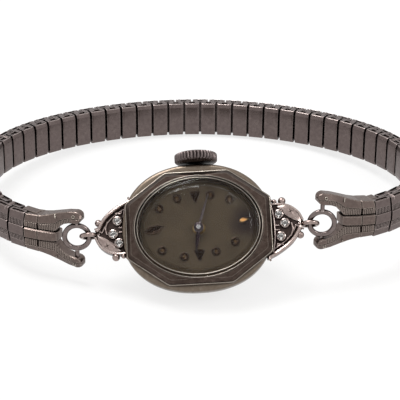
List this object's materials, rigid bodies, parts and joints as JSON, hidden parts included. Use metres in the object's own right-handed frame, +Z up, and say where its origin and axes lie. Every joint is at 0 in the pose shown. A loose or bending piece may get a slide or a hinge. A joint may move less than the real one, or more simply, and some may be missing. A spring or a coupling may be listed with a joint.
{
  "type": "oval watch",
  "caption": "Small oval mechanical wristwatch with a faceted bezel, domed crystal, knurled crown and stone-set shoulders on an expansion bracelet.",
  "frame": {"origin": "centre of the bottom of the bounding box, on the surface that the watch stands on", "axes": "+X to the right along the head's long axis, from the twelve towards the six; +Y from the head to the middle of the bracelet's back; +Z up, crown upwards"},
  "size_m": [0.0544, 0.0422, 0.0149],
  "materials": {
    "case_metal": "worn white metal",
    "band_metal": "worn white metal",
    "crown_metal": "dark worn",
    "crystal": "clear domed plastic",
    "dial_metal": "aged satin",
    "marker_gilt": "gilt",
    "hand_steel": "dark polished",
    "stone": "cut stone",
    "movement_nickel": "nickel plated",
    "movement_brass": "gilt",
    "movement_steel": "polished",
    "jewel_red": "synthetic ruby"
  },
  "bodies": {
    "watch_head": {"case_body": "case_metal", "case_back": "case_metal", "bezel": "case_metal", "crystal": "crystal", "dial": "dial_metal", "hour_markers": "marker_gilt", "left_shoulder": "case_metal", "right_shoulder": "case_metal", "shoulder_stones": "stone", "case_tube": "case_metal", "main_plate": "movement_nickel", "train_bridge": "movement_nickel", "balance_cock": "movement_nickel", "jewels": "jewel_red", "bridge_screws": "movement_steel", "hairspring": "movement_steel"},
    "minute_hand": {"minute_hand": "hand_steel", "cannon_pinion": "movement_steel"},
    "hour_hand": {"hour_hand": "hand_steel", "hour_wheel": "movement_brass"},
    "minute_wheel": {"minute_wheel": "movement_brass"},
    "clutch_wheel": {"clutch_wheel": "movement_steel"},
    "crown": {"crown": "crown_metal", "winding_stem": "movement_steel"},
    "winding_pinion": {"winding_pinion": "movement_steel"},
    "crown_wheel": {"crown_wheel": "movement_steel"},
    "ratchet_wheel": {"ratchet_wheel": "movement_steel"},
    "mainspring_barrel": {"mainspring_barrel": "movement_brass"},
    "center_wheel": {"center_wheel": "movement_brass"},
    "third_wheel": {"third_wheel": "movement_brass"},
    "fourth_wheel": {"fourth_wheel": "movement_brass"},
    "escape_wheel": {"escape_wheel": "movement_steel"},
    "pallet_fork": {"pallet_fork": "movement_steel"},
    "balance_wheel": {"balance_wheel": "movement_brass"},
    "bracelet_ends": {"left_bracelet_end": "band_metal", "right_bracelet_end": "band_metal", "left_front_links": "band_metal", "right_front_links": "band_metal"},
    "left_ring": {"left_ring": "band_metal"},
    "right_ring": {"right_ring": "band_metal"},
    "bracelet_rear": {"rear_inner_links": "band_metal", "rear_outer_links": "band_metal", "rear_leaf_springs": "band_metal", "rear_staples": "band_metal"},
    "left_link_1": {"left_link_1": "band_metal"},
    "left_link_2": {"left_link_2": "band_metal"},
    "left_link_3": {"left_link_3": "band_metal"},
    "left_link_4": {"left_link_4": "band_metal"},
    "left_link_5": {"left_link_5": "band_metal"},
    "left_link_6": {"left_link_6": "band_metal"},
    "left_link_7": {"left_link_7": "band_metal"},
    "right_link_1": {"right_link_1": "band_metal"},
    "right_link_2": {"right_link_2": "band_metal"},
    "right_link_3": {"right_link_3": "band_metal"},
    "right_link_4": {"right_link_4": "band_metal"},
    "right_link_5": {"right_link_5": "band_metal"},
    "right_link_6": {"right_link_6": "band_metal"},
    "right_link_7": {"right_link_7": "band_metal"}
  },
  "joints": [
    {"name": "head_rock", "type": "hinge", "parent": "watch_head", "child": "bracelet_ends", "pos_m": [0, -0.01541, 0.00682], "axis": [-0.9976, -0.0089, -0.0692], "range_deg": [0, 60]},
    {"name": "left_ring_swing", "type": "hinge", "parent": "bracelet_ends", "child": "left_ring", "pos_m": [-0.01377, -0.01553, 0.00587], "axis": [0, 0.127, 0.9919], "range_deg": [-4, 4]},
    {"name": "right_ring_swing", "type": "hinge", "parent": "bracelet_ends", "child": "right_ring", "pos_m": [0.01377, -0.01529, 0.00777], "axis": [0, 0.127, 0.9919], "range_deg": [-4, 4]},
    {"name": "bracelet_stretch", "type": "slide", "parent": "bracelet_ends", "child": "bracelet_rear", "axis": [0, 0.9919, -0.127], "range_m": [0, 0.00612], "stiffness_N_per_m": 100},
    {"name": "left_link_1_slide", "type": "slide", "parent": "bracelet_ends", "child": "left_link_1", "axis": [-0.4363, 0.8925, -0.1143], "range_m": [0, 0.0008087]},
    {"name": "left_link_2_slide", "type": "slide", "parent": "bracelet_ends", "child": "left_link_2", "axis": [-0.3618, 0.9247, -0.1184], "range_m": [0, 0.00161]},
    {"name": "left_link_3_slide", "type": "slide", "parent": "bracelet_ends", "child": "left_link_3", "axis": [-0.2943, 0.948, -0.1214], "range_m": [0, 0.0024]},
    {"name": "left_link_4_slide", "type": "slide", "parent": "bracelet_ends", "child": "left_link_4", "axis": [-0.2383, 0.9633, -0.1233], "range_m": [0, 0.00318]},
    {"name": "left_link_5_slide", "type": "slide", "parent": "bracelet_ends", "child": "left_link_5", "axis": [-0.1961, 0.9726, -0.1245], "range_m": [0, 0.00397]},
    {"name": "left_link_6_slide", "type": "slide", "parent": "bracelet_ends", "child": "left_link_6", "axis": [-0.1361, 0.9827, -0.1258], "range_m": [0, 0.00472]},
    {"name": "left_link_7_slide", "type": "slide", "parent": "bracelet_ends", "child": "left_link_7", "axis": [-0.0689, 0.9895, -0.1267], "range_m": [0, 0.00544]},
    {"name": "right_link_1_slide", "type": "slide", "parent": "bracelet_ends", "child": "right_link_1", "axis": [0.4363, 0.8925, -0.1143], "range_m": [0, 0.0008087]},
    {"name": "right_link_2_slide", "type": "slide", "parent": "bracelet_ends", "child": "right_link_2", "axis": [0.3618, 0.9247, -0.1184], "range_m": [0, 0.00161]},
    {"name": "right_link_3_slide", "type": "slide", "parent": "bracelet_ends", "child": "right_link_3", "axis": [0.2943, 0.948, -0.1214], "range_m": [0, 0.0024]},
    {"name": "right_link_4_slide", "type": "slide", "parent": "bracelet_ends", "child": "right_link_4", "axis": [0.2383, 0.9633, -0.1233], "range_m": [0, 0.00318]},
    {"name": "right_link_5_slide", "type": "slide", "parent": "bracelet_ends", "child": "right_link_5", "axis": [0.1961, 0.9726, -0.1245], "range_m": [0, 0.00397]},
    {"name": "right_link_6_slide", "type": "slide", "parent": "bracelet_ends", "child": "right_link_6", "axis": [0.1361, 0.9827, -0.1258], "range_m": [0, 0.00472]},
    {"name": "right_link_7_slide", "type": "slide", "parent": "bracelet_ends", "child": "right_link_7", "axis": [0.0689, 0.9895, -0.1267], "range_m": [0, 0.00544]},
    {"name": "minute_hand_turn", "type": "hinge", "parent": "watch_head", "child": "minute_hand", "pos_m": [0, -0.01541, 0.00682], "axis": [-0.042, -0.7159, 0.6969], "continuous": true},
    {"name": "hour_hand_turn", "type": "hinge", "parent": "watch_head", "child": "hour_hand", "pos_m": [0, -0.01541, 0.00682], "axis": [-0.042, -0.7159, 0.6969], "continuous": true},
    {"name": "minute_wheel_turn", "type": "hinge", "parent": "watch_head", "child": "minute_wheel", "pos_m": [-0.00152, -0.01542, 0.00671], "axis": [-0.042, -0.7159, 0.6969], "continuous": true},
    {"name": "crown_turn", "type": "hinge", "parent": "watch_head", "child": "clutch_wheel", "pos_m": [0.00001, -0.0153, 0.00672], "axis": [-0.0557, 0.6981, 0.7138], "continuous": true},
    {"name": "crown_pull", "type": "slide", "parent": "clutch_wheel", "child": "crown", "axis": [-0.0557, 0.6981, 0.7138], "range_m": [0, 0.0008]},
    {"name": "winding_pinion_turn", "type": "hinge", "parent": "watch_head", "child": "winding_pinion", "pos_m": [0.00001, -0.0153, 0.00672], "axis": [-0.0557, 0.6981, 0.7138], "continuous": true},
    {"name": "crown_wheel_turn", "type": "hinge", "parent": "watch_head", "child": "crown_wheel", "pos_m": [-0.00114, -0.01457, 0.00762], "axis": [-0.042, -0.7159, 0.6969], "continuous": true},
    {"name": "ratchet_wheel_turn", "type": "hinge", "parent": "watch_head", "child": "ratchet_wheel", "pos_m": [-0.00224, -0.0162, 0.00587], "axis": [-0.042, -0.7159, 0.6969], "continuous": true},
    {"name": "fourth_wheel_turn", "type": "hinge", "parent": "watch_head", "child": "fourth_wheel", "pos_m": [0.00347, -0.01568, 0.00675], "axis": [-0.042, -0.7159, 0.6969], "continuous": true},
    {"name": "third_wheel_turn", "type": "hinge", "parent": "watch_head", "child": "third_wheel", "pos_m": [0.00187, -0.01621, 0.00611], "axis": [-0.042, -0.7159, 0.6969], "continuous": true},
    {"name": "center_wheel_turn", "type": "hinge", "parent": "watch_head", "child": "center_wheel", "pos_m": [0, -0.01541, 0.00682], "axis": [-0.042, -0.7159, 0.6969], "continuous": true},
    {"name": "mainspring_barrel_turn", "type": "hinge", "parent": "watch_head", "child": "mainspring_barrel", "pos_m": [-0.00224, -0.0162, 0.00587], "axis": [-0.042, -0.7159, 0.6969], "continuous": true},
    {"name": "escape_wheel_turn", "type": "hinge", "parent": "watch_head", "child": "escape_wheel", "pos_m": [0.00449, -0.01491, 0.0076], "axis": [-0.042, -0.7159, 0.6969], "continuous": true},
    {"name": "pallet_fork_rock", "type": "hinge", "parent": "watch_head", "child": "pallet_fork", "pos_m": [0.00358, -0.01407, 0.00841], "axis": [-0.042, -0.7159, 0.6969], "range_deg": [-5, 5]},
    {"name": "balance_swing", "type": "hinge", "parent": "watch_head", "child": "balance_wheel", "pos_m": [0.00259, -0.01346, 0.00897], "axis": [-0.042, -0.7159, 0.6969], "range_deg": [-220, 220]}
  ],
  "couplings": [
    {"joint": "left_link_1_slide", "follows": "bracelet_stretch", "ratio": 0.13208},
    {"joint": "left_link_2_slide", "follows": "bracelet_stretch", "ratio": 0.2628},
    {"joint": "left_link_3_slide", "follows": "bracelet_stretch", "ratio": 0.39196},
    {"joint": "left_link_4_slide", "follows": "bracelet_stretch", "ratio": 0.5202},
    {"joint": "left_link_5_slide", "follows": "bracelet_stretch", "ratio": 0.64854},
    {"joint": "left_link_6_slide", "follows": "bracelet_stretch", "ratio": 0.77139},
    {"joint": "left_link_7_slide", "follows": "bracelet_stretch", "ratio": 0.88833},
    {"joint": "right_link_1_slide", "follows": "bracelet_stretch", "ratio": 0.13208},
    {"joint": "right_link_2_slide", "follows": "bracelet_stretch", "ratio": 0.2628},
    {"joint": "right_link_3_slide", "follows": "bracelet_stretch", "ratio": 0.39196},
    {"joint": "right_link_4_slide", "follows": "bracelet_stretch", "ratio": 0.5202},
    {"joint": "right_link_5_slide", "follows": "bracelet_stretch", "ratio": 0.64854},
    {"joint": "right_link_6_slide", "follows": "bracelet_stretch", "ratio": 0.77139},
    {"joint": "right_link_7_slide", "follows": "bracelet_stretch", "ratio": 0.88833},
    {"joint": "hour_hand_turn", "follows": "minute_hand_turn", "ratio": 0.083333},
    {"joint": "minute_wheel_turn", "follows": "minute_hand_turn", "ratio": -0.33333},
    {"joint": "winding_pinion_turn", "follows": "crown_turn", "ratio": 1},
    {"joint": "crown_wheel_turn", "follows": "crown_turn", "ratio": -0.56364},
    {"joint": "ratchet_wheel_turn", "follows": "crown_turn", "ratio": 0.42759},
    {"joint": "third_wheel_turn", "follows": "fourth_wheel_turn", "ratio": -0.13333},
    {"joint": "center_wheel_turn", "follows": "fourth_wheel_turn", "ratio": 0.016667},
    {"joint": "mainspring_barrel_turn", "follows": "fourth_wheel_turn", "ratio": -0.0027778},
    {"joint": "escape_wheel_turn", "follows": "fourth_wheel_turn", "ratio": -10}
  ]
}
